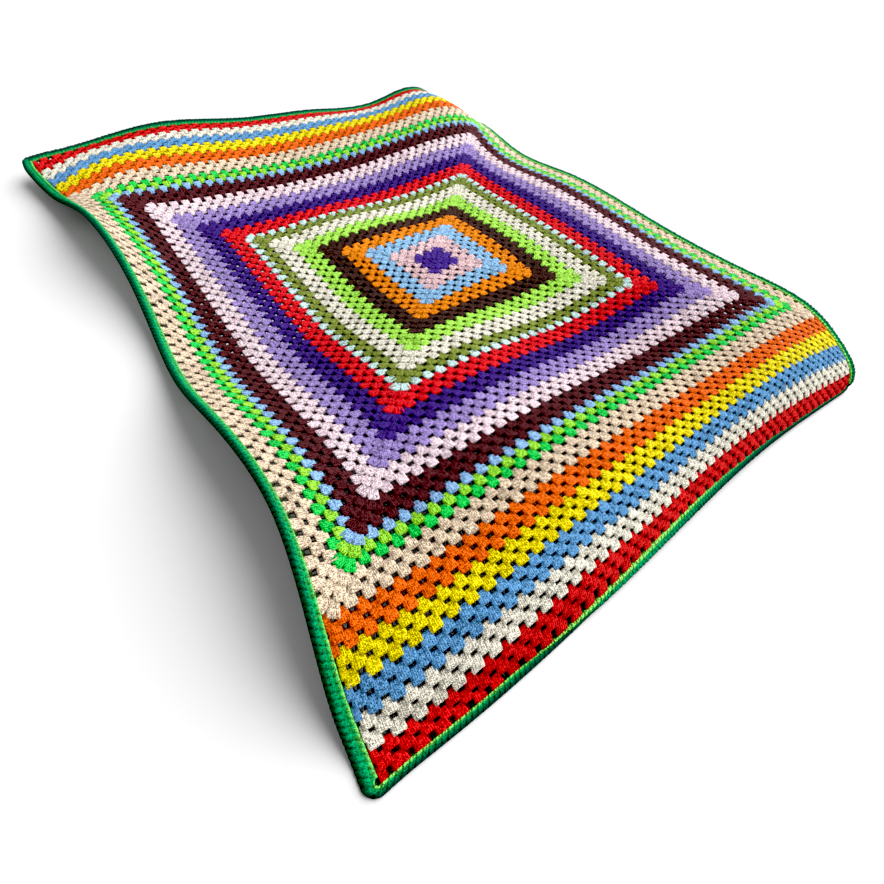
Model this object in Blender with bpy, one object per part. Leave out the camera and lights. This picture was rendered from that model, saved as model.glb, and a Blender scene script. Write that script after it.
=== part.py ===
"""Granny square blanket, lying on a floor in soft folds.

A large square is worked in rounds from its middle. A panel of straight rows is worked on to
its near end and another to its far end, and a thick cord edging runs round the whole.

The blanket is first described flat: "across" and "along" say how far a point lies from the
middle, in millimetres. Three tables then lay it down: how high its underside is lifted, and
how far the cloth has drifted across and along. +X runs across the blanket, +Y along it and
+Z up, and the origin is on the floor under the middle of its box.
"""

import bpy
import numpy as np

MM = 0.001

# Driving dimensions, in millimetres
ROUND_HEIGHT = 12.0
ROUNDS = 45
END_ROW_HEIGHT = 10.4
END_ROWS = 15
EDGING_WIDTH = 16.0
CLOTH_THICKNESS = 4.0
EDGING_THICKNESS = 7.0
SEAM_GAP = 0.3

ROUNDS_IN_A_BAND = 3
FACES_ALONG_AN_END = 5
FLOOR_EASE = 8.0       # height over which a sinking fold is eased on to the floor
SLOPE_STEP = 2.0       # step used to measure how the cloth slopes

HALF_SQUARE = ROUND_HEIGHT * ROUNDS
HALF_WORKED_LENGTH = HALF_SQUARE + END_ROW_HEIGHT * END_ROWS
HALF_WIDTH = HALF_SQUARE + EDGING_WIDTH
HALF_LENGTH = HALF_WORKED_LENGTH + EDGING_WIDTH

# Where the folds are measured across the cloth
FOLD_COLUMNS = {
    "left edge": -HALF_WIDTH,
    "left valley": -456.0,
    "left": -288.0,
    "middle left": -96.0,
    "middle right": 96.0,
    "right": 288.0,
    "right shoulder": 456.0,
    "right edge": HALF_WIDTH,
}

# Height of the underside above the floor. A height below zero is pressed flat on the floor.
FOLDS = {
    # along: left edge, left valley, left, middle left, middle right, right, shoulder, right edge
    HALF_LENGTH: (36, 42, 66, 54, 53, 56, 68, -40),
    HALF_SQUARE: (31, 47, 44, 40, 55, 80, 82, 24),
    360.0: (76, 22, 2, 10, 22, 46, 38, 18),
    168.0: (55, 0, -13, 20, 19, 40, 52, 43),
    -24.0: (27, -5, -3, 24, 46, 60, 69, 55),
    -216.0: (83, 49, 47, 51, 35, 65, 70, 60),
    -384.0: (103, 84, 80, 60, 34, 56, 79, 72),
    -HALF_SQUARE: (78, 72, 88, 92, 84, 86, 84, 74),
    -624.0: (26, 44, 74, 79, 80, 83, 64, 45),
    -668.0: (4, 6, 38, 44, 46, 42, 32, 24),
    -HALF_LENGTH: (-24, -32, -16, -4, -1, -8, -10, -12),
}

# Where the drift of the cloth is measured across it
DRIFT_COLUMNS = {
    "left edge": -HALF_WIDTH,
    "left": -432.0,
    "middle": 0.0,
    "right edge": HALF_WIDTH,
}

# How far the cloth has moved towards +X
DRIFT_ACROSS = {
    # along: left edge, left, middle, right edge
    HALF_LENGTH: (-59, -49, -31, -19),
    432.0: (-11, -10, -17, -14),
    144.0: (18, 4, 1, -9),
    -144.0: (9, 6, -1, -9),
    -408.0: (26, 6, 20, 1),
    -600.0: (-4, -1, 7, 1),
    -HALF_LENGTH: (-11, 3, 25, -6),
}

# How far the cloth has moved towards +Y
DRIFT_ALONG = {
    # along: left edge, left, middle, right edge
    HALF_LENGTH: (-59, -45, -20, -15),
    432.0: (-51, -29, -19, 13),
    144.0: (-28, -31, -4, 2),
    -144.0: (-32, -30, -7, 19),
    -408.0: (-26, -34, 8, 15),
    -600.0: (-18, -24, 3, 22),
    -664.0: (-8, -19, 22, 31),
    -HALF_LENGTH: (-10, -7, 35, 51),
}

# The edging's section: how far in from the cloth's outer edge, and how high
EDGING_SECTION = (
    # inwards, height
    (0.8, 0.0),
    (0.0, 2.2),
    (1.2, 5.0),
    (5.0, EDGING_THICKNESS),
    (11.0, 6.4),
    (EDGING_WIDTH - SEAM_GAP, CLOTH_THICKNESS),
    (EDGING_WIDTH - SEAM_GAP, 0.0),
)

YARN_ROUGHNESS = 0.9

# Yarn colours of the square, from its middle outwards, one for each band of rounds. A stripe
# of a single round is narrower than a face and takes its neighbour's colour.
SQUARE_YARNS = (
    ("deep_violet", (0.07, 0.03, 0.30)),
    ("pink", (0.91, 0.61, 0.65)),
    ("light_blue", (0.30, 0.58, 0.91)),
    ("bright_orange", (1.00, 0.26, 0.01)),
    ("dark_brown", (0.05, 0.02, 0.01)),
    ("lime", (0.43, 0.91, 0.10)),
    ("cream", (0.91, 0.87, 0.72)),
    ("olive", (0.22, 0.29, 0.05)),
    ("bright_red", (0.75, 0.01, 0.01)),
    ("indigo", (0.05, 0.01, 0.20)),
    ("lavender", (0.35, 0.22, 0.64)),
    ("pale_pink", (0.96, 0.72, 0.79)),
    ("burgundy", (0.08, 0.01, 0.01)),
    ("bright_green", (0.01, 0.64, 0.08)),
    ("beige", (0.83, 0.64, 0.46)),
)

# Yarn colours of an end panel, from the square to the edging
END_YARNS = (
    ("orange_red", (1.00, 0.10, 0.01)),
    ("yellow", (0.96, 0.75, 0.01)),
    ("mid_blue", (0.10, 0.30, 0.68)),
    ("off_white", (0.79, 0.75, 0.61)),
    ("end_red", (0.72, 0.01, 0.01)),
)

EDGING_YARNS = (("emerald", (0.01, 0.22, 0.05)),)


def spline_weights(stations, places):
    """How much each station's value counts at each place.

    The values are joined by a natural cubic spline: a cubic between each two stations whose
    slope and bend carry on across a station, with no bend at either end. Its bends solve one
    set of linear equations, so a matrix gives them from the values.
    """
    count = len(stations)
    spans = np.diff(stations)
    system = np.eye(count)
    bends_from = np.zeros((count, count))
    for row in range(1, count - 1):
        before, after = spans[row - 1], spans[row]
        system[row, row - 1 : row + 2] = before, 2 * (before + after), after
        bends_from[row, row - 1 : row + 2] = 6 / before, -6 / before - 6 / after, 6 / after
    bends = np.linalg.solve(system, bends_from)
    values = np.eye(count)
    right = np.clip(np.searchsorted(stations, places), 1, count - 1)
    left = right - 1
    span = spans[left][:, None]
    from_right = (stations[right] - places)[:, None] / span
    from_left = 1 - from_right
    straight = from_right * values[left] + from_left * values[right]
    bent = (from_right**3 - from_right) * bends[left] + (from_left**3 - from_left) * bends[right]
    return straight + bent * span**2 / 6


def read_table(table, columns, across, along):
    """The table's smooth value at each point of the flat cloth."""
    rows = sorted(table)
    values = np.array([table[row] for row in rows], float)
    along_weights = spline_weights(np.array(rows), along)
    across_weights = spline_weights(np.array(list(columns.values())), across)
    return np.einsum("pr,rc,pc->p", along_weights, values, across_weights)


def eased_on_floor(height):
    """The height, with what lies below the floor pressed flat and a parabola between the two."""
    eased = (height + FLOOR_EASE) ** 2 / (4 * FLOOR_EASE)
    return np.where(height > FLOOR_EASE, height, np.where(height < -FLOOR_EASE, 0, eased))


def underside(across, along):
    """Where each point of the flat cloth's underside lies once the blanket is laid."""
    x = across + read_table(DRIFT_ACROSS, DRIFT_COLUMNS, across, along)
    y = along + read_table(DRIFT_ALONG, DRIFT_COLUMNS, across, along)
    z = eased_on_floor(read_table(FOLDS, FOLD_COLUMNS, across, along))
    return np.stack([x, y, z], axis=-1)


def laid(across, along, height):
    """The point at this height above the underside, measured square to the laid cloth."""
    slope_across = underside(across + SLOPE_STEP, along) - underside(across - SLOPE_STEP, along)
    slope_along = underside(across, along + SLOPE_STEP) - underside(across, along - SLOPE_STEP)
    square = np.cross(slope_across, slope_along)
    square /= np.linalg.norm(square, axis=-1, keepdims=True)
    return underside(across, along) + square * height[:, None]


def yarn_material(name, colour):
    material = bpy.data.materials.new(name)
    material.use_nodes = True
    shader = material.node_tree.nodes["Principled BSDF"]
    shader.inputs["Base Color"].default_value = (*colour, 1.0)
    shader.inputs["Roughness"].default_value = YARN_ROUGHNESS
    shader.inputs["Metallic"].default_value = 0.0
    return material


def add_piece(name, points, faces, yarns, yarn_of_face):
    """One closed piece, with a material for each yarn."""
    mesh = bpy.data.meshes.new(name)
    mesh.from_pydata((points * MM).tolist(), [], faces)
    for yarn, colour in yarns:
        mesh.materials.append(yarn_material(yarn, colour))
    mesh.polygons.foreach_set("material_index", yarn_of_face)
    mesh.update()
    mesh.shade_smooth()
    piece = bpy.data.objects.new(name, mesh)
    bpy.context.scene.collection.objects.link(piece)
    return piece


def strip_faces(first, second, turned):
    """Quads between two rows of corner numbers, which all split from first to second corner.

    Pieces that meet along a seam split their facing walls the same way, so the gap between
    them stays even where the cloth twists.
    """
    if turned:
        return list(zip(first[:-1], second[:-1], second[1:], first[1:]))
    return list(zip(first[:-1], first[1:], second[1:], second[:-1]))


def add_panel(name, across_lines, along_lines, yarns, yarn_at):
    """A sheet of even thickness: an upper and a lower grid of points joined round the rim."""
    across, along = np.meshgrid(across_lines, along_lines, indexing="ij")
    across, along = across.ravel(), along.ravel()
    shape = len(across_lines), len(along_lines)
    lower = laid(across, along, np.zeros(across.size))
    upper = laid(across, along, np.full(across.size, CLOTH_THICKNESS))
    below = np.arange(across.size).reshape(shape)
    above = below + across.size
    faces = []
    for row in range(shape[0] - 1):
        faces += strip_faces(above[row].tolist(), above[row + 1].tolist(), True)
        faces += strip_faces(below[row].tolist(), below[row + 1].tolist(), False)
    for edge, turned in ((0, True), (-1, False)):
        faces += strip_faces(below[edge].tolist(), above[edge].tolist(), turned)
        faces += strip_faces(below[:, edge].tolist(), above[:, edge].tolist(), not turned)
    flat = np.concatenate([np.stack([across, along], -1)] * 2)
    middles = np.array([flat[list(face)].mean(axis=0) for face in faces])
    return add_piece(name, np.concatenate([lower, upper]), faces, yarns, yarn_at(middles))


def square_yarn(middles):
    """Bands are square rings, so the larger of the two distances from the middle tells them."""
    rounds = np.abs(middles).max(axis=1) / ROUND_HEIGHT
    bands = (rounds / ROUNDS_IN_A_BAND).astype(int)
    return np.minimum(bands, len(SQUARE_YARNS) - 1)


def end_yarn(middles):
    rows = (np.abs(middles[:, 1]) - HALF_SQUARE) / END_ROW_HEIGHT
    bands = (rows / ROUNDS_IN_A_BAND).astype(int)
    return np.clip(bands, 0, len(END_YARNS) - 1)


def seam_lines(low, high, faces, low_gap, high_gap):
    """Evenly spaced lines, whose first and last stand back from a seam by the given gaps."""
    lines = np.linspace(low, high, faces + 1)
    lines[0] += low_gap
    lines[-1] -= high_gap
    return lines


def add_edging(across_lines, along_lines):
    """The section carried round the rim, mitred at the four corners."""
    right = np.full(along_lines.size - 1, 1.0)
    near = np.full(across_lines.size - 1, -1.0)
    path_across = np.concatenate(
        [across_lines[:-1], right * across_lines[-1], across_lines[:0:-1], -right * across_lines[-1]]
    )
    path_along = np.concatenate(
        [near * along_lines[-1], along_lines[:-1], -near * along_lines[-1], along_lines[:0:-1]]
    )
    # Only a corner's own line moves with the section on both sides of it.
    out_across = np.where(np.isclose(np.abs(path_across), across_lines[-1]), np.sign(path_across), 0)
    out_along = np.where(np.isclose(np.abs(path_along), along_lines[-1]), np.sign(path_along), 0)
    rings = []
    for inwards, height in EDGING_SECTION:
        outwards = EDGING_WIDTH - inwards
        ring_across = path_across + out_across * outwards
        ring_along = path_along + out_along * outwards
        rings.append(laid(ring_across, ring_along, np.full(ring_across.size, height)))
    count = path_across.size
    numbers = np.arange(count * len(rings)).reshape(len(rings), count)
    faces = []
    onwards = np.roll(path_across + path_along, -1) > path_across + path_along
    for ring, following in zip(numbers, np.roll(numbers, -1, axis=0)):
        around = ring.tolist() + [int(ring[0])]
        beside = following.tolist() + [int(following[0])]
        quads = strip_faces(around, beside, False)
        # A quad that starts one corner earlier splits the other way.
        faces += [quad[-1:] + quad[:-1] if on else quad for quad, on in zip(quads, onwards)]
    return add_piece("edging", np.concatenate(rings), faces, EDGING_YARNS, [0] * len(faces))


def centre_on_origin(pieces):
    """Moves the middle of the blanket's box over the origin."""
    corners = []
    for piece in pieces:
        points = np.empty(len(piece.data.vertices) * 3)
        piece.data.vertices.foreach_get("co", points)
        corners += [points.reshape(-1, 3).min(axis=0), points.reshape(-1, 3).max(axis=0)]
    middle = (np.min(corners, axis=0) + np.max(corners, axis=0)) / 2
    for piece in pieces:
        points = np.empty(len(piece.data.vertices) * 3)
        piece.data.vertices.foreach_get("co", points)
        points = points.reshape(-1, 3) - (middle[0], middle[1], 0.0)
        piece.data.vertices.foreach_set("co", points.ravel())
        piece.data.update()


def clear_scene():
    for leftover in list(bpy.data.objects):
        bpy.data.objects.remove(leftover)


clear_scene()
square_faces = 2 * ROUNDS // ROUNDS_IN_A_BAND
square_lines = seam_lines(-HALF_SQUARE, HALF_SQUARE, square_faces, 0.0, 0.0)
end_lines = seam_lines(HALF_SQUARE, HALF_WORKED_LENGTH, FACES_ALONG_AN_END, SEAM_GAP, 0.0)
rim_along_lines = np.concatenate([-end_lines[:0:-1], square_lines, end_lines[1:]])
blanket = [
    add_panel("granny_square", square_lines, square_lines, SQUARE_YARNS, square_yarn),
    add_panel("far_end_panel", square_lines, end_lines, END_YARNS, end_yarn),
    add_panel("near_end_panel", square_lines, -end_lines[::-1], END_YARNS, end_yarn),
    add_edging(square_lines, rim_along_lines),
]
centre_on_origin(blanket)
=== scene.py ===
# %% [markdown]
# A granny square blanket lies on a pale floor. Its solid model holds the folds and the real
# size. Here the blanket gets its crochet: thousands of small clusters of stitches, each in
# the yarn of its round or row, and a thick cord edging round the whole.
#
# The frame comes first, because every stitch has to lie on the folds of the solid model.

# %% The frame
import math

import bpy
import numpy as np
from mathutils import Matrix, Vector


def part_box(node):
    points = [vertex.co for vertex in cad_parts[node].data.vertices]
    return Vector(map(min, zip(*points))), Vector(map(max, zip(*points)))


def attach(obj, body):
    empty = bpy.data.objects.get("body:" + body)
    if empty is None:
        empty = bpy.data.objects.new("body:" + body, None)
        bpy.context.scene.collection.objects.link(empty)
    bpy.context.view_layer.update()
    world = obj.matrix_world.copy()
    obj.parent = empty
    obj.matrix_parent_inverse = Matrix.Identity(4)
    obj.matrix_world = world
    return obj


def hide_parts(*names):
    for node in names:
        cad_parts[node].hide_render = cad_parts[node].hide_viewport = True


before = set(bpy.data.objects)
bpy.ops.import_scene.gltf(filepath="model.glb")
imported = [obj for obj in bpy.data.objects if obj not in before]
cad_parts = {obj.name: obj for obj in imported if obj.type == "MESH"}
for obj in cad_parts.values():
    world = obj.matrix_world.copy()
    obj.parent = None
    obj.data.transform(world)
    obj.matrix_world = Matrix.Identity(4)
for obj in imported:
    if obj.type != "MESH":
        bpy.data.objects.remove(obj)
bpy.context.view_layer.update()

# %% [markdown]
# All sizes follow from the yarn. A cluster is three trebles worked into one space. In this
# yarn it takes 24 mm of its row, with the hole beside it, and is 12 mm high. The square has
# 45 rounds, so it is 1080 mm a side. Each end has 15 straight rows, which lie a little
# shorter, and then comes the edging. Lengths are in millimetres until a mesh is made.

# %% Sizes of the crochet
MM = 0.001
ROUND_HEIGHT = 12.0
ROUNDS = 45
END_ROW_HEIGHT = 10.4
END_ROWS = 15
EDGING_WIDTH = 16.0
CLOTH_THICKNESS = 4.0

HALF_SQUARE = ROUND_HEIGHT * ROUNDS
HALF_WORKED_LENGTH = HALF_SQUARE + END_ROW_HEIGHT * END_ROWS
HALF_WIDTH = HALF_SQUARE + EDGING_WIDTH
HALF_LENGTH = HALF_WORKED_LENGTH + EDGING_WIDTH
print(f"flat blanket {2 * HALF_WIDTH:.0f} x {2 * HALF_LENGTH:.0f} mm")

# %% [markdown]
# The folds are the solid model's own. One table says how high the underside is lifted at a
# few stations across and along the cloth, and two more say how far the cloth has drifted.
# A simulation could drop the cloth into folds, but these folds have to be the same as the
# solid's, so the same tables are joined here by the same smooth curves.

# %% Folds of the blanket
FOLD_COLUMNS = {
    "left edge": -HALF_WIDTH,
    "left valley": -456.0,
    "left": -288.0,
    "middle left": -96.0,
    "middle right": 96.0,
    "right": 288.0,
    "right shoulder": 456.0,
    "right edge": HALF_WIDTH,
}
FOLDS = {
    # along: left edge, left valley, left, middle left, middle right, right, shoulder, right edge
    HALF_LENGTH: (36, 42, 66, 54, 53, 56, 68, -40),
    HALF_SQUARE: (31, 47, 44, 40, 55, 80, 82, 24),
    360.0: (76, 22, 2, 10, 22, 46, 38, 18),
    168.0: (55, 0, -13, 20, 19, 40, 52, 43),
    -24.0: (27, -5, -3, 24, 46, 60, 69, 55),
    -216.0: (83, 49, 47, 51, 35, 65, 70, 60),
    -384.0: (103, 84, 80, 60, 34, 56, 79, 72),
    -HALF_SQUARE: (78, 72, 88, 92, 84, 86, 84, 74),
    -624.0: (26, 44, 74, 79, 80, 83, 64, 45),
    -668.0: (4, 6, 38, 44, 46, 42, 32, 24),
    -HALF_LENGTH: (-24, -32, -16, -4, -1, -8, -10, -12),
}

DRIFT_COLUMNS = {
    "left edge": -HALF_WIDTH,
    "left": -432.0,
    "middle": 0.0,
    "right edge": HALF_WIDTH,
}
DRIFT_ACROSS = {
    # along: left edge, left, middle, right edge
    HALF_LENGTH: (-59, -49, -31, -19),
    432.0: (-11, -10, -17, -14),
    144.0: (18, 4, 1, -9),
    -144.0: (9, 6, -1, -9),
    -408.0: (26, 6, 20, 1),
    -600.0: (-4, -1, 7, 1),
    -HALF_LENGTH: (-11, 3, 25, -6),
}
DRIFT_ALONG = {
    # along: left edge, left, middle, right edge
    HALF_LENGTH: (-59, -45, -20, -15),
    432.0: (-51, -29, -19, 13),
    144.0: (-28, -31, -4, 2),
    -144.0: (-32, -30, -7, 19),
    -408.0: (-26, -34, 8, 15),
    -600.0: (-18, -24, 3, 22),
    -664.0: (-8, -19, 22, 31),
    -HALF_LENGTH: (-10, -7, 35, 51),
}
print(f"{len(FOLDS)} fold sections, highest {max(max(row) for row in FOLDS.values())} mm")

# %% [markdown]
# A natural cubic spline joins the stations. Its bends come from one set of linear
# equations, so a small matrix turns the stations' values into the value at any point, and
# hundreds of thousands of stitch corners are read from a table in one product.


# %% Reading the tables
def spline_weights(stations, places):
    """How much each station's value counts at each place.

    Between two stations the curve is a cubic, and its slope and bend carry on across each
    station. The bend at every station solves (span before) * bend before + 2 * (both spans)
    * bend + (span after) * bend after = 6 * (change of slope), with no bend at the ends.
    """
    count = len(stations)
    spans = np.diff(stations)
    system = np.eye(count)
    bends_from = np.zeros((count, count))
    for row in range(1, count - 1):
        before, after = spans[row - 1], spans[row]
        system[row, row - 1 : row + 2] = before, 2 * (before + after), after
        bends_from[row, row - 1 : row + 2] = 6 / before, -6 / before - 6 / after, 6 / after
    bends = np.linalg.solve(system, bends_from)
    values = np.eye(count)
    right = np.clip(np.searchsorted(stations, places), 1, count - 1)
    left = right - 1
    span = spans[left][:, None]
    from_right = (stations[right] - places)[:, None] / span
    from_left = 1 - from_right
    straight = from_right * values[left] + from_left * values[right]
    bent = (from_right**3 - from_right) * bends[left] + (from_left**3 - from_left) * bends[right]
    return straight + bent * span**2 / 6


def read_table(table, columns, across, along):
    """The table's smooth value: the row weights, times the table, times the column weights."""
    rows = sorted(table)
    values = np.array([table[row] for row in rows], float)
    along_weights = spline_weights(np.array(rows), along)
    across_weights = spline_weights(np.array(list(columns.values())), across)
    return ((along_weights @ values) * across_weights).sum(axis=1)


fold_stations = np.array(sorted(FOLDS))
at_stations = spline_weights(fold_stations, fold_stations)
print("at its own stations the curve is off by", np.abs(at_stations - np.eye(len(FOLDS))).max())

# %% [markdown]
# A fold that would sink below the floor is pressed flat on it, with a short parabola where
# it leaves the floor. Every point is then lifted square to the cloth by its height above
# the underside. The middle of the box is found by laying the solid's own grid once more.

# %% Laying the cloth
FLOOR_EASE = 8.0
SLOPE_STEP = 2.0
SOLID_FACE = 36.0


def underside(across, along):
    """x and y are the flat place plus its drift, z is the fold's height pressed on the floor."""
    x = across + read_table(DRIFT_ACROSS, DRIFT_COLUMNS, across, along)
    y = along + read_table(DRIFT_ALONG, DRIFT_COLUMNS, across, along)
    lift = read_table(FOLDS, FOLD_COLUMNS, across, along)
    eased = (lift + FLOOR_EASE) ** 2 / (4 * FLOOR_EASE)
    z = np.where(lift > FLOOR_EASE, lift, np.where(lift < -FLOOR_EASE, 0, eased))
    return np.stack([x, y, z], axis=-1)


def lay(across, along, height):
    """The underside, plus the height times the cloth's unit normal.

    The normal is the cross product of the slopes across and along, which are measured
    between points a small step to either side.
    """
    slope_across = underside(across + SLOPE_STEP, along) - underside(across - SLOPE_STEP, along)
    slope_along = underside(across, along + SLOPE_STEP) - underside(across, along - SLOPE_STEP)
    normal = np.cross(slope_across, slope_along)
    normal /= np.linalg.norm(normal, axis=-1, keepdims=True)
    return underside(across, along) + normal * np.asarray(height)[..., None]


solid_lines = np.arange(-HALF_SQUARE, HALF_SQUARE + 1, SOLID_FACE)
grid_across, grid_along = (g.ravel() for g in np.meshgrid(solid_lines, solid_lines))
both_faces = np.concatenate(
    [lay(grid_across, grid_along, np.full(grid_across.size, h)) for h in (0.0, CLOTH_THICKNESS)]
)
square_low, square_high = (np.array(corner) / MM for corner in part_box("granny_square"))
middle_of_box = both_faces.min(axis=0) - square_low
middle_of_box[2] = 0.0
misfit = both_faces.max(axis=0) - middle_of_box - square_high
print("middle of the box at", middle_of_box.round(2), "mm, misfit", np.abs(misfit).max().round(3), "mm")

# %% [markdown]
# The camera looks down on the blanket from beyond its near left corner, close by and
# through a short lens, so the near corner is large and the far end small. It is also
# turned a little about its own axis. Its place and its three angles are named values, and
# one function turns the angles into a matrix, so that no helper object is needed.

# %% Camera
CAMERA_PLACE = (-613.9, -770.4, 630.2)
CAMERA_HEADING = math.radians(-43.62)
CAMERA_DIP = math.radians(49.50)
CAMERA_ROLL = math.radians(11.42)
IMAGE_SIDE = 884
FOCAL_PIXELS = 540.0
SENSOR_WIDTH = 36.0


def camera_turn(heading, dip, roll):
    """The camera's own axes as matrix columns: right and up rolled about the view, and back."""
    view = np.array(
        [-math.sin(heading) * math.cos(dip), math.cos(heading) * math.cos(dip), -math.sin(dip)]
    )
    level = np.array([math.cos(heading), math.sin(heading), 0.0])
    upright = np.cross(level, view)
    right = math.cos(roll) * level + math.sin(roll) * upright
    up = math.cos(roll) * upright - math.sin(roll) * level
    return Matrix(np.stack([right, up, -view], axis=1).tolist()).to_4x4()


camera_data = bpy.data.cameras.new("camera")
camera_data.sensor_width = SENSOR_WIDTH
camera_data.lens = FOCAL_PIXELS / IMAGE_SIDE * SENSOR_WIDTH
camera = bpy.data.objects.new("camera", camera_data)
camera.matrix_world = Matrix.Translation(
    ((np.array(CAMERA_PLACE) - middle_of_box) * MM).tolist()
) @ camera_turn(CAMERA_HEADING, CAMERA_DIP, CAMERA_ROLL)
bpy.context.scene.collection.objects.link(camera)
bpy.context.scene.camera = camera
print(f"lens {camera_data.lens:.1f} mm")

# %% [markdown]
# Shader maths reads best as sums, so one small class wraps a socket. An operator on it adds
# a Math node, and every other node comes from its "spin" method, which takes the node's
# type, its settings and what goes into its sockets. A Math node would turn a colour grey,
# so "mix" and "tint" use Mix nodes. A Mix node has sockets for every type of value, and the
# numbers below are those for colours.

# %% Shader maths
MIX_FACTOR, MIX_FIRST, MIX_SECOND, MIX_RESULT = 0, 6, 7, 2


class Strand:
    """A value in a material's node tree."""

    def __init__(self, tree, socket):
        self.tree = tree
        self.socket = socket

    @classmethod
    def spin(cls, tree, kind, settings=None, sockets=None, output=0):
        """Adds a node, sets its settings and then its sockets, and returns one output."""
        node = tree.nodes.new(kind)
        for name, value in (settings or {}).items():
            if name == "stops":
                cls.set_stops(node.color_ramp, value)
            else:
                setattr(node, name, value)
        for name, value in (sockets or {}).items():
            if isinstance(value, Strand):
                tree.links.new(value.socket, node.inputs[name])
            else:
                node.inputs[name].default_value = value
        return cls(tree, node.outputs[output])

    @staticmethod
    def set_stops(ramp, stops):
        """Gives a ramp its stops, each a place and a colour."""
        while len(ramp.elements) < len(stops):
            ramp.elements.new(0.5)
        for element, (place, colour) in zip(ramp.elements, stops):
            element.position = place
            element.color = (*colour, 1.0)

    def math(self, operation, *values):
        """One Math node on this value and the others."""
        sockets = dict(enumerate((self, *values)))
        return Strand.spin(self.tree, "ShaderNodeMath", {"operation": operation}, sockets)

    def __add__(self, other):
        return self.math("ADD", other)

    def __mul__(self, other):
        return self.math("MULTIPLY", other)

    def __sub__(self, other):
        return self.math("SUBTRACT", other)

    def __rsub__(self, other):
        return (self * -1) + other

    __radd__ = __add__
    __rmul__ = __mul__

    def mix(self, first, second):
        """The first colour where this value is 0, and the second where it is 1."""
        first, second = (c if isinstance(c, Strand) else (*c, 1.0) for c in (first, second))
        sockets = {MIX_FACTOR: self, MIX_FIRST: first, MIX_SECOND: second}
        settings = {"data_type": "RGBA"}
        return Strand.spin(self.tree, "ShaderNodeMix", settings, sockets, MIX_RESULT)

    def tint(self, share):
        """This colour times a share, the same for red, green and blue."""
        sockets = {MIX_FACTOR: 1.0, MIX_FIRST: self, MIX_SECOND: (share, share, share, 1.0)}
        settings = {"data_type": "RGBA", "blend_type": "MULTIPLY"}
        return Strand.spin(self.tree, "ShaderNodeMix", settings, sockets, MIX_RESULT)


scratch = bpy.data.node_groups.new("scratch", "ShaderNodeTree")
mask = Strand.spin(scratch, "ShaderNodeValue")
mask = 1 - mask
print("1 - mask is made of", [node.operation for node in scratch.nodes if node.type == "MATH"])
bpy.data.node_groups.remove(scratch)

# %% [markdown]
# Every colour is written as it looks on a screen, from 0 to 255. A shader wants the light
# that the yarn sends back, and yarn under a bright lamp must not send back all of it, or
# its pale colours would turn flat white.

# %% Dyed colours
YARN_DEPTH = 0.72
SCREEN_POWER = 2.2


def linear(red, green, blue):
    """The yarn's depth times each channel's share of 255 to the power of the screen."""
    return tuple(YARN_DEPTH * (channel / 255) ** SCREEN_POWER for channel in (red, green, blue))


print("white yarn sends back", linear(255, 255, 255)[0], "of the light")

# %% [markdown]
# The yarn is a plain acrylic aran: matt, softly fuzzy, with plies that show as slanting lines on every
# stitch. Plies and fuzz are far too fine for geometry, so they are a pattern that changes the colour
# and the bump. It follows the stitches by the numbers that each corner of a cluster carries: "stitch"
# counts posts across, goes from base to top, and tells how far the corner stands out of the painted
# shade between clusters. "tone" makes one cluster a shade lighter or darker than the next.

# %% Plies and fuzz
# plies to a row height, how far they turn back at a post's middle, and strands to a post
PLY_TURNS = 4.2
PLY_TURN_BACK = 2.0
STRANDS = 2
STRAND_WANDER = 0.8
# noise: tufts are lumps of about 4 mm, fuzz is half that size
TUFT_SCALE = 260.0
FUZZ_SCALE = 520.0
NOISE_SPREAD = 2.2
# how much each of them counts in the mottle of the colour
PLY_MOTTLE = 0.24
STRAND_MOTTLE = 0.24
FUZZ_MOTTLE = 1.1
TUFT_MOTTLE = 1.1
TONE_MOTTLE = 0.25
# and in the relief
PLY_RELIEF = 0.25
STRAND_RELIEF = 0.3
POST_RELIEF = 0.5
FUZZ_RELIEF = 0.4
TUFT_RELIEF = 0.3


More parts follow.
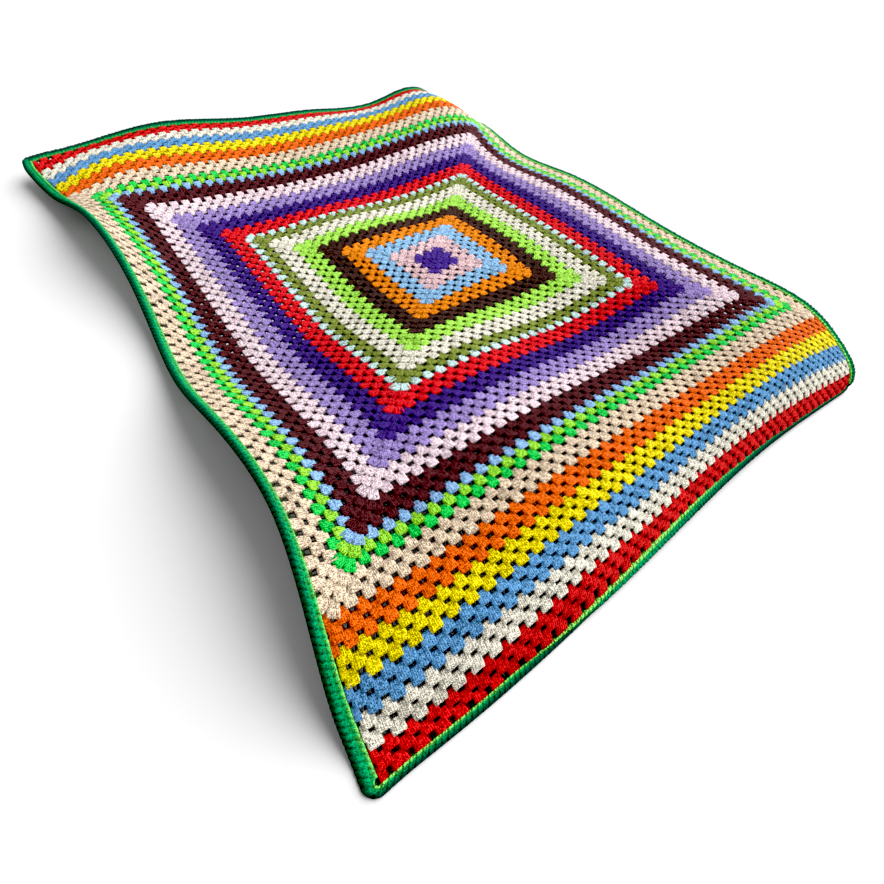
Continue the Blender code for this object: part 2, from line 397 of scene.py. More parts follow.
def yarn_pattern(tree):
    """The yarn's mottle from 0 to 1, its relief and its tufts, the rise, and how far a corner stands
    out of the painted shade.

    The plies are sin(slant), and the slant turns back at the middle of each post, which
    gives the small Vs of a stitch. The strands are a cosine across each post. The mottle is
    0.5 plus the weighted sum of plies, strands, fuzz, tufts and tone. The relief is such a
    sum too, less the distance from the middle of the post.
    """
    stitch = Strand.spin(tree, "ShaderNodeAttribute", {"attribute_name": "stitch"}, output="Vector")
    tone = Strand.spin(tree, "ShaderNodeAttribute", {"attribute_name": "tone"}, output="Fac")
    axes = Strand.spin(tree, "ShaderNodeSeparateXYZ", sockets={0: stitch}).socket.node.outputs
    posts, rise, unshaded = (Strand(tree, axis) for axis in axes)
    place = Strand.spin(tree, "ShaderNodeTexCoord", output="Object")
    noise = {"Vector": place, "Scale": FUZZ_SCALE, "Detail": 2.0, "Roughness": 0.7}
    fuzz = Strand.spin(tree, "ShaderNodeTexNoise", sockets=noise)
    tufts = Strand.spin(tree, "ShaderNodeTexNoise", sockets={**noise, "Scale": TUFT_SCALE})
    fuzz, tufts = (fuzz - 0.5) * NOISE_SPREAD, (tufts - 0.5) * NOISE_SPREAD
    from_middle = (posts.math("FRACT") - 0.5).math("ABSOLUTE")
    slant = (rise * PLY_TURNS + from_middle * PLY_TURN_BACK + fuzz) * (2 * math.pi)
    plies = slant.math("SINE")
    strands = ((posts * STRANDS + fuzz * STRAND_WANDER) * (2 * math.pi)).math("COSINE")
    mottle = 0.5 + plies * PLY_MOTTLE - strands * STRAND_MOTTLE
    mottle = mottle + fuzz * FUZZ_MOTTLE + tufts * TUFT_MOTTLE + tone * TONE_MOTTLE
    mottle = mottle.math("MINIMUM", 1.0).math("MAXIMUM", 0.0)
    relief = plies * PLY_RELIEF - strands * STRAND_RELIEF - from_middle * POST_RELIEF
    relief = relief + fuzz * FUZZ_RELIEF + tufts * TUFT_RELIEF
    return mottle, relief, tufts, rise, unshaded


print(f"plies {ROUND_HEIGHT / PLY_TURNS:.1f} mm apart, tufts of {1 / TUFT_SCALE / MM:.1f} mm")

# %% [markdown]
# The pattern goes into one shader, the same for every yarn but for its colour. Yarn has
# hardly any gloss: it is rough, with a trace of sheen. Little light reaches the depths
# between real clusters. The clusters here are lower and plainer than real stitches, so the
# deep shade between them is part of the colour.

# %% The surface of a yarn
# the relief's full height, in metres
RELIEF_HEIGHT = 0.0016
YARN_ROUGHNESS = 0.9
ROUGHNESS_SPREAD = 0.05
YARN_SHEEN = 0.03
YARN_GLOSS = 0.12
DEEP_SHADE = 0.04


def yarn_surface(name, colour_of):
    """A yarn material. colour_of gives its colour from the tree, the mottle and the rise.

    The colour goes from a painted deep shade to the full colour as the corner stands out of the shade
    between clusters.
    """
    material = bpy.data.materials.new(name)
    material.use_nodes = True
    tree = material.node_tree
    mottle, relief, tufts, rise, unshaded = yarn_pattern(tree)
    colour = colour_of(tree, mottle, rise)
    bump = {"Strength": 1.0, "Distance": RELIEF_HEIGHT, "Height": relief}
    shader = tree.nodes["Principled BSDF"]
    shader.inputs["Sheen Weight"].default_value = YARN_SHEEN
    shader.inputs["Specular IOR Level"].default_value = YARN_GLOSS
    finish = {
        # painted deep shade: the colour goes towards it where a corner lies low between the clusters
        "Base Color": unshaded.mix(colour.tint(DEEP_SHADE), colour),
        "Roughness": YARN_ROUGHNESS + tufts * ROUGHNESS_SPREAD,
        "Normal": Strand.spin(tree, "ShaderNodeBump", sockets=bump),
    }
    for socket, value in finish.items():
        tree.links.new(value.socket, shader.inputs[socket])
    return material


print(f"relief {RELIEF_HEIGHT / MM:.1f} mm, deep shade {DEEP_SHADE:.0%} of the colour")

# %% [markdown]
# The yarns of the clusters have one colour each. The mottle runs from a dark shade of the colour to a
# light one, and it follows the relief: painted shade in the hollows between the plies and painted
# highlights on the loose hairs, with a random tone from one cluster to the next. The yarn of the edging
# has more than one green and gets its colour further down.

# %% Yarn of one colour
# painted shade in the hollows between the plies, and a painted highlight on the hairs
HOLLOW_SHADE = 0.38
HAIR_HIGHLIGHT = 1.5
HAIR_HIGHLIGHT_LIFT = 0.03


def plain_yarn(name, colour):
    """Yarn whose colour is darkened in its hollows by HOLLOW_SHADE, a painted shade, and lightened on
    its hairs, a painted highlight.
    """
    hollows = tuple(channel * HOLLOW_SHADE for channel in colour)
    hairs = tuple(min(channel * HAIR_HIGHLIGHT, 1.0) + HAIR_HIGHLIGHT_LIFT for channel in colour)
    return yarn_surface(name, lambda tree, mottle, rise: mottle.mix(hollows, hairs))


print(f"hairs are {HAIR_HIGHLIGHT / HOLLOW_SHADE:.1f} times as light as hollows")

# %% [markdown]
# One cluster is a small closed cushion with three posts and the chain of stitch tops along
# its outer edge. It could be three separate tubes, but thousands of clusters need a shape
# of few faces: eight faces across, six from base to top, and one flat face for the back.
# Its base reaches down between two tops of the round before, and above those tops its steep sides leave
# a hole to the next cluster. A low skirt runs round it and narrows each hole towards the back, so that
# little light comes through from below. The skirt and the low rims are coloured in full painted deep
# shade, and the walls in part, so that the holes look dark.

# %% The shape of a cluster
CLUSTER_ROWS = (
    # rise, half width, height at a post, height in a groove, top and walls out of the painted shade
    (-0.64, 0.48, 0.6, 0.6, 0.0, 0.0),
    (-0.49, 0.53, 2.5, 2.1, 0.85, 0.3),
    (0.00, 0.62, 3.1, 2.5, 1.0, 0.3),
    (0.36, 0.68, 3.3, 2.6, 1.0, 0.0),
    (0.70, 0.70, 3.4, 2.8, 1.0, 0.2),
    (0.95, 0.66, 3.5, 3.2, 1.0, 0.4),
    (1.06, 0.58, 0.6, 0.6, 0.0, 0.0),
)
CLUSTER_COLUMNS = (
    # share of the half width, on a post, wall height or None
    (-1.32, 0.0, 0.6),
    (-1.05, 0.0, 1.2),
    (-0.89, 1.0, None),
    (-0.42, 0.0, None),
    (0.0, 1.0, None),
    (0.42, 0.0, None),
    (0.89, 1.0, None),
    (1.05, 0.0, 1.2),
    (1.32, 0.0, 0.6),
)
RIM_HEIGHT = 0.6
POSTS = 3

rise, half_width, post_height, groove_height, top_unshaded, walls_unshaded = np.array(CLUSTER_ROWS).T
steps_across, on_a_post, wall_height = np.array(CLUSTER_COLUMNS, float).T
is_wall = ~np.isnan(wall_height)
template_height = groove_height[:, None] + (post_height - groove_height)[:, None] * on_a_post
walls = np.minimum(wall_height, post_height[:, None])
template_height = np.where(is_wall, walls, template_height)
template_shape = template_height.shape
template_unshaded = np.where(is_wall, walls_unshaded[:, None], top_unshaded[:, None])
# the skirt's outermost corners are all in painted deep shade
template_unshaded[:, [0, -1]] = 0.0
highest, widest = template_height.max(), 2 * half_width.max() * ROUND_HEIGHT
print(f"a cluster is {highest:.1f} mm thick, and {widest:.0f} mm wide without its skirt")

# %% [markdown]
# The corners are numbered row by row. Four neighbours make a face that points upwards, and
# the outermost corners, read the other way round, make the flat face of the back.

# %% The faces of a cluster
numbers = np.arange(template_height.size).reshape(template_shape)


def grid_quads(numbers):
    """The four corners of every face of a grid of corner numbers, anticlockwise."""
    corners = [numbers[:-1, :-1], numbers[:-1, 1:], numbers[1:, 1:], numbers[1:, :-1]]
    return np.stack([c.ravel() for c in corners], axis=1)


front_faces = grid_quads(numbers)
back_face = np.concatenate(
    [numbers[:-1, 0], numbers[-1, :-1], numbers[:0:-1, -1], numbers[0, :0:-1]]
)
cluster_loops = np.concatenate([front_faces.ravel(), back_face])
cluster_starts = np.arange(len(front_faces) + 1) * 4
print(f"a cluster has {numbers.size} corners and {len(cluster_starts)} faces")

# %% [markdown]
# Where the clusters go follows from the crochet. Round number n has n clusters on each of
# its four sides, so each round is set half a cluster off the one before, and at a corner
# two clusters share one space. Straight rows are set off in the same way, with half a
# cluster at both ends of every other row. Quarter turns bring one side on to all four.

# %% Where the clusters go
# what is kept of each cluster: its middle along the row, where the row starts, half of the
# cluster's share of the row, the row's height, the quarter turns of its side, and whether
# it is the first or the last cluster of a round's side
PLACE_COLUMNS = ("middle", "start", "half share", "height", "turns", "is first", "is last")
MIDDLE, START, HALF_SHARE, HEIGHT, TURNS, IS_FIRST, IS_LAST = range(len(PLACE_COLUMNS))


def round_places(number):
    """The clusters of a round. Cluster i of n is at (i - (n - 1) / 2) times its full share."""
    places = np.zeros((4, number, len(PLACE_COLUMNS)))
    places[..., MIDDLE] = (np.arange(number) - (number - 1) / 2) * 2 * ROUND_HEIGHT
    places[..., START] = (number - 1) * ROUND_HEIGHT
    places[..., HALF_SHARE] = ROUND_HEIGHT
    places[..., HEIGHT] = ROUND_HEIGHT
    places[..., TURNS] = np.arange(4)[:, None]
    places[:, 0, IS_FIRST] = 1
    places[:, -1, IS_LAST] = 1
    return places.reshape(-1, len(PLACE_COLUMNS))


def end_row_places(number, turns):
    """The clusters of an end row, set out as a round's are.

    Odd rows have one cluster fewer and start and end with half a cluster.
    """
    odd = number % 2
    count = ROUNDS - odd
    middles = (np.arange(count) - (count - 1) / 2) * 2 * ROUND_HEIGHT
    halves = np.full(count, ROUND_HEIGHT)
    if odd:
        edge = HALF_SQUARE - ROUND_HEIGHT / 2
        middles = np.concatenate([[-edge], middles, [edge]])
        halves = np.concatenate([[ROUND_HEIGHT / 2], halves, [ROUND_HEIGHT / 2]])
    places = np.zeros((middles.size, len(PLACE_COLUMNS)))
    places[:, MIDDLE] = middles
    places[:, START] = HALF_SQUARE + (number - 1) * END_ROW_HEIGHT
    places[:, HALF_SHARE] = halves
    places[:, HEIGHT] = END_ROW_HEIGHT
    places[:, TURNS] = turns
    return places


print(f"{sum(len(round_places(n)) for n in range(1, ROUNDS + 1))} clusters in the square")

# %% [markdown]
# The rows of a crocheted blanket don't stay where a ruler would put them. The first rounds
# sit slightly turned. An end's rows are looser beside the square than at the rim, and near
# the left corners they sag or are pulled out. Each of these is a function that moves flat
# points, so the rows stay joined while they bend, and nothing is moved by hand.

# %% How the rows give way
MIDDLE_TURN = math.radians(4.0)
MIDDLE_REACH = 110.0
SIDE_EASE = 0.2
NEAR_MIDDLE_EASE = 0.13
# slack in the near end's last rows, and the highest value of t^3 * (1 - t)
SLACK_SHIFT = 10.5
SLACK_MIDDLE = -300.0
SLACK_REACH = 150.0
SLACK_PEAK = 27 / 256
# pull at the near left corner
PULL = 8.0
PULL_TO = -370.0
# sag at the far left rim
SAG_SHIFT = 33.0
SAG_FROM = 430.0
SAG_RISE = (400.0, 540.0)
SAG_FALL = (640.0, 696.0)
SOFT_CORNER = 44.0
# rows: near, far; columns: left, right
SOFT_CORNER_PUSH = np.array([[-2.0, 10.0], [5.0, 8.0]])


def turn_middle(across, along):
    """Turns a point about the middle by an angle that fades as exp(-(distance / reach)^2)."""
    angle = MIDDLE_TURN * np.exp(-(across**2 + along**2) / MIDDLE_REACH**2)
    return (
        across * np.cos(angle) - along * np.sin(angle),
        across * np.sin(angle) + along * np.cos(angle),
    )


def pulled_out(across):
    """How far the near end's last rows are pulled out: 1 at the left rim, 0 from PULL_TO on."""
    return ((PULL_TO - across) / (PULL_TO + HALF_SQUARE)).clip(0, 1)


def ease_ends(across, along):
    """Makes the first rows of an end looser and the last ones tighter.

    With t as the share of the end's length from the square to its rim, the shift outwards
    is the length times the ease times t * (1 - t). The near end has less ease in its middle:
    there the ease goes from the middle's to the side's with the square of the way across.
    The near end's last rows are slack in one place, where t^3 * (1 - t) draws them inwards,
    and beside the left corner they are pulled outwards with t^3.
    """
    length = HALF_WORKED_LENGTH - HALF_SQUARE
    share = ((np.abs(along) - HALF_SQUARE) / length).clip(0, 1)
    ease = SIDE_EASE + (NEAR_MIDDLE_EASE - SIDE_EASE) * (1 - (across / HALF_SQUARE) ** 2).clip(0)
    ease = np.where(along > 0, SIDE_EASE, ease)
    slack = np.where(along > 0, 0.0, np.exp(-(((across - SLACK_MIDDLE) / SLACK_REACH) ** 4)))
    draw = SLACK_SHIFT * slack * share**3 * (1 - share) / SLACK_PEAK
    draw = draw - PULL * pulled_out(across) * share**3 * (along < 0)
    return across, along + np.sign(along) * (length * ease * share * (1 - share) - draw)


def sag_far_left(across, along):
    """Lets the rows sag towards the near end beside the far end's left rim.

    The sag grows evenly from SAG_FROM to the rim. Along the blanket it rises as a smooth
    step, stays whole and falls with the square of the way to the rim.
    """
    side = (-across - SAG_FROM).clip(0) / (HALF_SQUARE - SAG_FROM)
    rising = ((along - SAG_RISE[0]) / (SAG_RISE[1] - SAG_RISE[0])).clip(0, 1)
    falling = ((along - SAG_FALL[0]) / (SAG_FALL[1] - SAG_FALL[0])).clip(0, 1)
    sag = SAG_SHIFT * side * rising**2 * (3 - 2 * rising) * (1 - falling**2)
    return across, along - sag


def soften_corners(across, along):
    """Draws each corner in or out by its own push times the square of how near it is."""
    near_side = 1 - (HALF_SQUARE - np.abs(across)).clip(0, SOFT_CORNER) / SOFT_CORNER
    near_end = 1 - (HALF_WORKED_LENGTH - np.abs(along)).clip(0, SOFT_CORNER) / SOFT_CORNER
    push = SOFT_CORNER_PUSH[(along > 0).astype(int), (across > 0).astype(int)]
    push = push * (near_side * near_end) ** 2
    return across - np.sign(across) * push, along - np.sign(along) * push


left_rim = np.linspace(0, HALF_WORKED_LENGTH, 200)
sagged = sag_far_left(np.full(left_rim.size, -HALF_SQUARE), left_rim)[1]
print(f"rows sag by up to {(left_rim - sagged).max():.0f} mm at the far left rim")

# %% [markdown]
# Hand crochet is never quite even: each cluster is a little higher, wider, thicker or
# further along than it should be. The random numbers are seeded, so that the blanket is the
# same each time. The two clusters that share a corner space fan out from it, each leaning
# from the diagonal towards its own side. Copies of one cluster would be simpler, but they
# wouldn't bend with the folds, so the corners of all of them are worked out as arrays.

# %% Working the clusters
unevenness = np.random.default_rng(45)
MOST_UNEVEN = 2.0
WIDTH_SPREAD = 0.04
RISE_SPREAD = 0.05
HEIGHT_SPREAD = 0.08
SLIP_SPREAD = 0.5
SKIRT_FROM = 1.2
CENTRE_START = 0.1
CORNER_LEAN = math.radians(22)
CORNER_STRETCH = 1.04
CORNER_APART = 0.48


def work_clusters(places, skirt):
    """All corners of the clusters at these places, laid on the folds.

    A corner is its step across times the row's half width, and its rise times the row
    height. The skirt widens the outermost steps. In a corner space, both are measured along
    directions that are turned from the row's by the angle between the row's own direction
    and the leaning one. The first round has no room to lean, so its clusters stop at the
    diagonals.
    """
    count = len(places)
    middle, start, half_share, row_height, turns, is_first, is_last = places.T[:, :, None, None]
    spread = unevenness.normal(size=(count, 4, 1, 1)).clip(-MOST_UNEVEN, MOST_UNEVEN)
    centre_round = (is_first * is_last) > 0
    in_corner = (is_first + is_last > 0) & ~centre_round
    side = is_last - is_first
    stretch = np.where(in_corner, CORNER_STRETCH, 1.0)
    climb = rise[:, None] * (1 + RISE_SPREAD * spread[:, 0] * (rise[:, None] > 0))
    climb = np.where(centre_round, climb.clip(CENTRE_START), climb) * row_height * stretch
    steps = np.where(np.abs(steps_across) > SKIRT_FROM, steps_across * skirt, steps_across)
    step = steps * half_width[:, None] * half_share * (1 + WIDTH_SPREAD * spread[:, 1])
    step = step + SLIP_SPREAD * spread[:, 2]
    step = np.where(centre_round, step.clip(-climb, climb), step)
    lean = np.where(in_corner, side * (math.pi / 4 - CORNER_LEAN), 0.0)
    apart = np.where(in_corner, -side * CORNER_APART * row_height, 0.0)
    row = middle + (step + apart) * np.cos(lean) + climb * np.sin(lean)
    away = start - (step + apart) * np.sin(lean) + climb * np.cos(lean)
    height = RIM_HEIGHT + (template_height - RIM_HEIGHT) * (1 + HEIGHT_SPREAD * spread[:, 3])
    cosine, sine = np.cos(turns * math.pi / 2), np.sin(turns * math.pi / 2)
    across, along = turn_middle(row * cosine - away * sine, row * sine + away * cosine)
    across, along = soften_corners(*sag_far_left(*ease_ends(across, along)))
    across, along, height = (
        np.broadcast_to(grid, (count, *template_shape)).ravel() for grid in (across, along, height)
    )
    return lay(across, along, height) - middle_of_box


print(f"clusters differ by {WIDTH_SPREAD:.0%} in width and {HEIGHT_SPREAD:.0%} in height")

# %% [markdown]
# All clusters of one colour are joined in one mesh, because thousands of separate objects
# would be slow to handle. Arrays hold its corners and faces, so nothing is added one stitch
# at a time. The yarn reads two numbers at each corner, and they are kept in the mesh as
# attributes.


# %% Putting clusters into a mesh
def add_mesh(name, points, loops, starts, stitch, tone, material):
    """A smooth mesh with its material and the two numbers that the yarn reads.

    The loops are the faces' corner numbers one after another, and starts says where each
    face begins in them.
    """
    mesh = bpy.data.meshes.new(name)
    mesh.vertices.add(len(points))
    mesh.vertices.foreach_set("co", (points * MM).astype(np.float32).ravel())
    mesh.loops.add(loops.size)
    mesh.loops.foreach_set("vertex_index", loops.astype(np.int32).ravel())
    mesh.polygons.add(starts.size)
    mesh.polygons.foreach_set("loop_start", starts.astype(np.int32).ravel())
    mesh.update(calc_edges=True)
    mesh.validate()
    mesh.shade_smooth()
    stitch_values = mesh.attributes.new("stitch", "FLOAT_VECTOR", "POINT")
    stitch_values.data.foreach_set("vector", stitch.astype(np.float32).ravel())
    tone_values = mesh.attributes.new("tone", "FLOAT", "POINT")
    tone_values.data.foreach_set("value", tone.astype(np.float32))
    mesh.materials.append(material)
    piece = bpy.data.objects.new(name, mesh)
    bpy.context.scene.collection.objects.link(piece)
    return piece


TONE_SPREAD = 0.3
cluster_stitch = np.zeros((*template_shape, 3))
cluster_stitch[..., 0] = (steps_across + 1) / 2 * POSTS
cluster_stitch[..., 1] = rise[:, None]
# how far each corner stands out of the painted shade
cluster_stitch[..., 2] = template_unshaded
cluster_stitch = cluster_stitch.reshape(-1, 3)


def add_clusters(name, places, material, skirt=1.0):
    """One mesh of clusters, each with its own tone and its own start of the plies.

    The skirt says how far their outermost ring, coloured in painted deep shade, spreads sideways.
    """
    count = len(places)
    points = work_clusters(places, skirt)
    each = np.arange(count)[:, None]
    loops = cluster_loops + each * numbers.size
    starts = cluster_starts + each * cluster_loops.size
    stitch = np.tile(cluster_stitch, (count, 1, 1))
    stitch[..., 1] += unevenness.uniform(0, 1, size=(count, 1))
    tone = np.repeat(unevenness.normal(0, TONE_SPREAD, count), numbers.size)
    return add_mesh(name, points, loops, starts, stitch.reshape(-1, 3), tone, material)


print(f"{2 * len(front_faces) + len(back_face) - 2} triangles to a cluster")

# %% [markdown]
# The yarns of the square come in their order from its middle outwards, with the last round
# of each. Most colours last three rounds. The ends have five more colours, three rows each,
# and are mirror images of each other.

# %% The yarns in their order
SQUARE_YARNS = (
    # name, last round, colour
    ("deep_violet", 3, (75, 45, 150)),
    ("pink", 6, (245, 205, 210)),
    ("light_blue", 9, (150, 200, 245)),
    ("bright_orange", 12, (255, 140, 10)),
    ("dark_brown", 15, (65, 35, 25)),
    ("lime", 18, (175, 245, 90)),
    ("cream", 21, (245, 240, 220)),
    ("olive", 23, (130, 145, 60)),
    ("pale_aqua", 24, (205, 238, 235)),
    ("bright_red", 27, (225, 10, 30)),
    ("indigo", 30, (60, 25, 125)),
    ("lavender", 33, (160, 138, 205)),
    ("pale_pink", 36, (250, 220, 230)),
    ("burgundy", 39, (80, 15, 25)),
    ("cornflower", 40, (140, 185, 235)),
    ("yellow_lime", 41, (150, 225, 60)),
    ("bright_green", 42, (30, 210, 80)),
    ("beige", 45, (235, 210, 180)),
)
END_YARNS = (
    # name, last row, colour
    ("orange_red", 3, (255, 105, 5)),
    ("yellow", 6, (250, 225, 10)),
    ("mid_blue", 9, (100, 160, 215)),
    ("off_white", 12, (250, 241, 222)),
    ("end_red", 15, (220, 5, 10)),
)
print(f"{len(SQUARE_YARNS)} colours in the square and {len(END_YARNS)} in each end")

# %% [markdown]
# The square is worked yarn by yarn. Each band keeps the size of the strip of cloth that it
# would be in straight rows: as wide as its rounds are high, with the bases that reach into
# the round before, and as long as one round's clusters side by side.

# %% The square
BASE_REACH = 0.72

square_bands = []
first = 1
for yarn, last, colour in SQUARE_YARNS:
    places = np.concatenate([round_places(n) for n in range(first, last + 1)])
    band = add_clusters(f"{yarn}_rounds", places, plain_yarn(yarn, linear(*colour)))
    rounds = last + 1 - first
    width = (rounds + BASE_REACH) * ROUND_HEIGHT
    square_bands.append((band, width, len(places) * 2 * ROUND_HEIGHT / rounds))
    first = last + 1
print(len(square_bands), "bands in the square")

# %% [markdown]
# The same rows make both ends, brought to their sides by quarter turns. The near end's red rows are
# stretched where the blanket rolls down to the floor, so they get a wider skirt in painted deep shade
# that keeps their holes small and dark. It is widest in the last rows beside the left corner, where
# they are also pulled out.

# %% The two ends
NEAR_TURNS, FAR_TURNS = 2, 0
# skirts in painted deep shade that keep the stretched rows' holes small and dark
CLOSE_SKIRT = 1.06
WIDE_SKIRT = 1.3
WIDE_ROWS = 2
# along a near row, which runs from the right to the left after its half turn
WIDE_FROM = 400.0

end_bands = []
for side, turns in (("near", NEAR_TURNS), ("far", FAR_TURNS)):
    first = 1
    for yarn, last, colour in END_YARNS:
        places = np.concatenate([end_row_places(n, turns) for n in range(first, last + 1)])
        material = bpy.data.materials.get(yarn) or plain_yarn(yarn, linear(*colour))
        skirt = np.ones((len(places), 1, 1))
        if (side, yarn) == ("near", "end_red"):
            last_rows_from = HALF_WORKED_LENGTH - (WIDE_ROWS + 0.5) * END_ROW_HEIGHT
            in_wide_part = (places[:, START] > last_rows_from) & (places[:, MIDDLE] > WIDE_FROM)
            skirt[:, 0, 0] = np.where(in_wide_part, WIDE_SKIRT, CLOSE_SKIRT)
        band = add_clusters(f"{side}_{yarn}_rows", places, material, skirt)
        end_bands.append((band, side, (last + 1 - first + BASE_REACH) * END_ROW_HEIGHT))
        first = last + 1
print(len(end_bands), "bands in the ends")

# %% [markdown]
# The edging is worked in greens of the same yarn: light stitches along the cloth, then a thick ribbed
# cord, darkest where it turns under. It could be stitches too, but they sit so tight that they show as
# ribs alone. So it is one long surface, a closed section carried round the rim. The section begins with
# a low base that reaches under the last row. The base is coloured in painted deep shade, so that the
# holes there look dark and no floor shows through them. At each corner of the blanket the section turns
# through a quarter circle.

# %% The path of the edging
EDGING_SECTION = (
    # outwards, height, share of the ribs
    (-6.5, 0.9, 0.0),
    (-2.0, 1.2, 0.2),
    (-1.0, 4.2, 0.9),
    (1.4, 5.6, 1.0),
    (3.6, 4.8, 0.8),
    (5.0, 4.2, 0.4),
    (7.0, 6.8, 1.0),
    (9.6, 8.0, 1.0),
    (12.2, 7.4, 1.0),
    (14.4, 5.4, 1.0),
    (15.8, 3.2, 0.9),
    (15.6, 1.2, 0.4),
    (12.0, 0.3, 0.0),
    (4.0, 0.3, 0.0),
    (-6.0, 0.4, 0.0),
)
# about the length of one section along a straight side of the rim
RIM_STEP = 1.15
CORNER_STEPS = 13


def rim_path():
    """The rim of the worked cloth, as places and outward directions, anticlockwise.

    Each side is a straight run with one outward direction, and each corner stays in place
    while its direction turns through a quarter circle.
    """
    ends = np.array([[1, -1], [1, 1], [-1, 1], [-1, -1]]) * (HALF_SQUARE, HALF_WORKED_LENGTH)
    places, headings = [], []
    for side, corner in enumerate(ends):
        before = ends[side - 1]
        steps = int(np.linalg.norm(corner - before) / RIM_STEP)
        share = np.arange(1, steps)[:, None] / steps
        places += [before + (corner - before) * share, np.tile(corner, (CORNER_STEPS, 1))]
        heading = (side - 1) * math.pi / 2
        quarter = np.linspace(0, math.pi / 2, CORNER_STEPS)
        headings += [np.full(steps - 1, heading), heading + quarter]
    headings = np.concatenate(headings)
    return np.concatenate(places), np.stack([np.cos(headings), np.sin(headings)], axis=1)


rim_places, rim_directions = rim_path()
rim_middle = rim_places + rim_directions * EDGING_WIDTH / 2
rim_length = np.linalg.norm(np.diff(rim_middle, axis=0, append=rim_middle[:1]), axis=1)
print(f"edging {rim_length.sum():.0f} mm round in {len(rim_places)} sections")

# %% [markdown]
# The ribs are waves that slant across the cord. They are rounded on top and narrow in the
# grooves, and the cord swells and thins a little from one section to the next.

# %% The ribs
RIB_PITCH = 7.4
RIB_SLANT = 0.5
RIB_HEIGHT = 1.1
RIB_REACH = 0.7
RIB_POWER = 0.7
SWELL_SPREAD = 0.06
# the height of the wave at which the section keeps its own size
RIB_MIDDLE = 0.75

outwards, section_height, rib_share = np.array(EDGING_SECTION).T
rim_run = np.concatenate([[0], np.cumsum(rim_length)[:-1]])
ribs_round = round(rim_length.sum() / RIB_PITCH)
# a rib is |sin(pi * phase)| to a power, and the phase grows along the rim and outwards
phase = rim_run[:, None] / rim_length.sum() * ribs_round + outwards * RIB_SLANT / RIB_PITCH
rib = np.abs(np.sin(phase * math.pi)) ** RIB_POWER
swell = unevenness.normal(size=(len(rim_run), 1)).clip(-MOST_UNEVEN, MOST_UNEVEN)
swell = 1 + SWELL_SPREAD * swell
lift = section_height * swell + (rib - RIB_MIDDLE) * RIB_HEIGHT * rib_share
reach = outwards + (rib - RIB_MIDDLE) * RIB_REACH * rib_share
print(f"{ribs_round} ribs, the highest {lift.max():.1f} mm")

# %% [markdown]
# The cord doesn't lie the same way all round. Towards the right of the near end it is
# rolled under, so it shows lower and narrower. Beside the near left corner it is pulled out
# with the last rows. Both are shares from 0 to 1 that change the section as it is carried
# along. It is then laid on the folds like the clusters and kept just off the floor.

# %% Laying the edging
ROLLED_FROM, ROLLED_OVER = -150.0, 450.0
ROLLED_HEIGHT, ROLLED_WIDTH = 0.6, 0.45
OFF_THE_FLOOR = 0.2

on_near_end = (-rim_directions[:, 1]).clip(0)
rolled = ((rim_places[:, 0] - ROLLED_FROM) / ROLLED_OVER).clip(0, 1)
rolled = (rolled**2 * (3 - 2 * rolled) * on_near_end)[:, None]
lift = lift * (1 - (1 - ROLLED_HEIGHT) * rolled)
reach = reach * (1 - (1 - ROLLED_WIDTH) * rolled)
pulled = (pulled_out(rim_places[:, 0]) * on_near_end)[:, None]
reach = reach + PULL * pulled * (1 - reach.clip(0) / EDGING_WIDTH)
edge_across, edge_along = soften_corners(
    rim_places[:, :1] + rim_directions[:, :1] * reach,
    rim_places[:, 1:] + rim_directions[:, 1:] * reach,
)
edge_points = lay(edge_across.ravel(), edge_along.ravel(), lift.ravel()) - middle_of_box
edge_points[:, 2] = np.maximum(edge_points[:, 2], OFF_THE_FLOOR)

edge_numbers = np.arange(edge_points.shape[0]).reshape(lift.shape)
edge_numbers = np.concatenate([edge_numbers, edge_numbers[:1]])
edge_numbers = np.concatenate([edge_numbers, edge_numbers[:, :1]], axis=1)
edge_faces = grid_quads(edge_numbers)
print(f"{len(edge_faces)} faces, pulled out by up to {PULL * pulled.max():.0f} mm")

# %% [markdown]
# One material serves the whole edging. It reads the way outwards from the number that tells the rise of
# a cluster: a ramp over it gives light stitches, emerald and then a very dark green, and the mottle
# moves its borders to and fro. Where the cord is rolled under and on the far side, the colour is moved
# further along the ramp, towards its dark green. The left side faces away from the lamp, and painted
# light there holds it back from the darkest green, so that it stays emerald nearly to its outer edge.
# The grooves and the base get a painted deep shade.

# %% The greens of the edging
EDGING_STOPS = (
    (0.0, linear(165, 245, 115)),
    (0.14, linear(120, 230, 105)),
    (0.30, linear(30, 165, 100)),
    (0.56, linear(20, 135, 90)),
    (0.72, linear(10, 80, 65)),
    (0.92, linear(7, 55, 48)),
)
STOP_WANDER = 0.3
# painted shade in the hollows and a painted highlight on the hairs of the edging
EDGING_HOLLOW_SHADE = 0.25
EDGING_HAIR_HIGHLIGHT = 2.0
ROLLED_SHADE = 0.42
FAR_SHADE = 0.24
# painted light: the left side faces away from the lamp, so its green is held back from the darkest
# stops
LEFT_PAINTED_LIGHT, LEFT_PAINTED_LIGHT_SPREAD = 0.12, 0.36
GROOVE_SHADE = 0.8
# inside this the base is all in painted deep shade
BASE_FROM = -1.5


def edging_colour(tree, mottle, rise):
    """The ramp's green, with painted shade in the hollows between plies and painted highlights on the
    hairs.
    """
    outward = rise + (mottle - 0.5) * STOP_WANDER
    ramp = Strand.spin(tree, "ShaderNodeValToRGB", {"stops": EDGING_STOPS}, {"Fac": outward})
    return mottle.mix(ramp.tint(EDGING_HOLLOW_SHADE), ramp.tint(EDGING_HAIR_HIGHLIGHT))


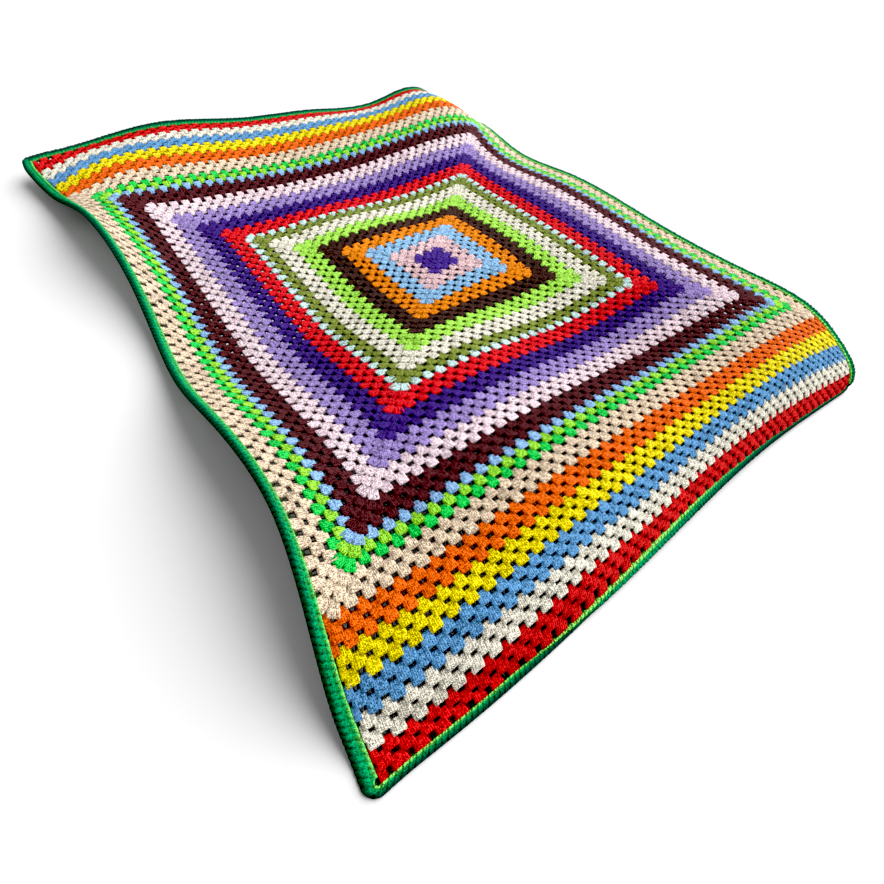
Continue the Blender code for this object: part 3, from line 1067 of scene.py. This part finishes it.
share_outwards = outwards / EDGING_WIDTH
on_far_end = rim_directions[:, 1:].clip(0)
on_left_side = (-rim_directions[:, :1]).clip(0)
edge_stitch = np.zeros((*lift.shape, 3))
edge_stitch[..., 0] = phase
edge_stitch[..., 1] = share_outwards + ROLLED_SHADE * rolled + FAR_SHADE * on_far_end
# painted light on the left side, which faces away from the lamp
edge_stitch[..., 1] += (LEFT_PAINTED_LIGHT - LEFT_PAINTED_LIGHT_SPREAD * share_outwards) * on_left_side
# painted shade: all over the base, and deeper in the grooves between the ribs
edge_stitch[..., 2] = np.where(outwards < BASE_FROM, 0.0, 1 - rib_share * (1 - rib) * GROOVE_SHADE)
edging = add_mesh(
    "cord_edging",
    edge_points,
    edge_faces,
    np.arange(len(edge_faces)) * 4,
    edge_stitch.reshape(-1, 3),
    np.repeat(unevenness.normal(0, TONE_SPREAD, len(rim_run)), len(outwards)),
    yarn_surface("edging_green", edging_colour),
)
print(f"{len(EDGING_STOPS)} greens from the cloth outwards")

# %% [markdown]
# Every piece rides on the one body and stands for the solid that it covers, which is hidden.

# %% Joining the pieces to the frame
for band, width, length in square_bands:
    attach(band, "root")
    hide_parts("granny_square")
    width * MM
    length * MM
for band, side, width in end_bands:
    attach(band, "root")
    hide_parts(f"{side}_end_panel")
    width * MM
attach(edging, "root")
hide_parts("edging")
print(len(square_bands) + len(end_bands) + 1, "pieces joined to the frame")

# %% [markdown]
# The stage is a pale floor under a plain white sky. A low, very wide lamp beyond the right
# side throws the soft shadow that lies along the left edge. The sky lights the blanket at
# less than its full strength, but the camera sees it plain white past the end of the floor.

# %% Floor and light
# the floor's side is in metres
FLOOR_SIDE = 60.0
FLOOR_COLOUR = (0.5, 0.5, 0.5, 1.0)
SKY_STRENGTH = 0.62
SUN_HEIGHT = math.radians(38)
SUN_FROM = math.radians(-4)
SUN_WIDTH = math.radians(85)
SUN_STRENGTH = 8.6

half_floor = FLOOR_SIDE / 2
floor_corners = np.array([[-1, -1, 0], [1, -1, 0], [1, 1, 0], [-1, 1, 0]]) * half_floor
floor_mesh = bpy.data.meshes.new("floor")
floor_mesh.from_pydata(floor_corners.tolist(), [], [(0, 1, 2, 3)])
floor = bpy.data.objects.new("floor", floor_mesh)
bpy.context.scene.collection.objects.link(floor)
floor_material = bpy.data.materials.new("pale_floor")
floor_material.use_nodes = True
floor_shader = floor_material.node_tree.nodes["Principled BSDF"]
floor_shader.inputs["Base Color"].default_value = FLOOR_COLOUR
floor_shader.inputs["Roughness"].default_value = 1.0
floor_shader.inputs["Specular IOR Level"].default_value = 0.0
floor_mesh.materials.append(floor_material)

world = bpy.data.worlds.new("plain_white_sky")
world.use_nodes = True
sky = world.node_tree
seen = Strand.spin(sky, "ShaderNodeLightPath", output="Is Camera Ray")
strength = seen * (1 - SKY_STRENGTH) + SKY_STRENGTH
sky.nodes["Background"].inputs["Color"].default_value = (1.0, 1.0, 1.0, 1.0)
sky.links.new(strength.socket, sky.nodes["Background"].inputs["Strength"])
bpy.context.scene.world = world

sun_data = bpy.data.lights.new("wide_lamp", "SUN")
sun_data.energy = SUN_STRENGTH
sun_data.angle = SUN_WIDTH
sun = bpy.data.objects.new("wide_lamp", sun_data)
sun.matrix_world = Matrix.Rotation(SUN_FROM, 4, "Z") @ Matrix.Rotation(
    math.pi / 2 - SUN_HEIGHT, 4, "Y"
)
bpy.context.scene.collection.objects.link(sun)
print(f"floor {FLOOR_SIDE:.0f} m a side, lamp {math.degrees(SUN_HEIGHT):.0f} degrees above it")

# %% [markdown]
# The standard view shows colours as they are. Even deep shade gets some light on so bright
# a stage and would look grey, so the black level is raised a little: what is nearly black
# becomes black.

# %% Black level
BLACK_LEVEL = 0.035

look = bpy.context.scene.view_settings
look.view_transform = "Standard"
look.use_curve_mapping = True
look.curve_mapping.black_level = (BLACK_LEVEL,) * 3
look.curve_mapping.update()
print("black level", BLACK_LEVEL)

# %% [markdown]
# Last, the view layer is brought up to date.

# %% Finish
bpy.context.view_layer.update()
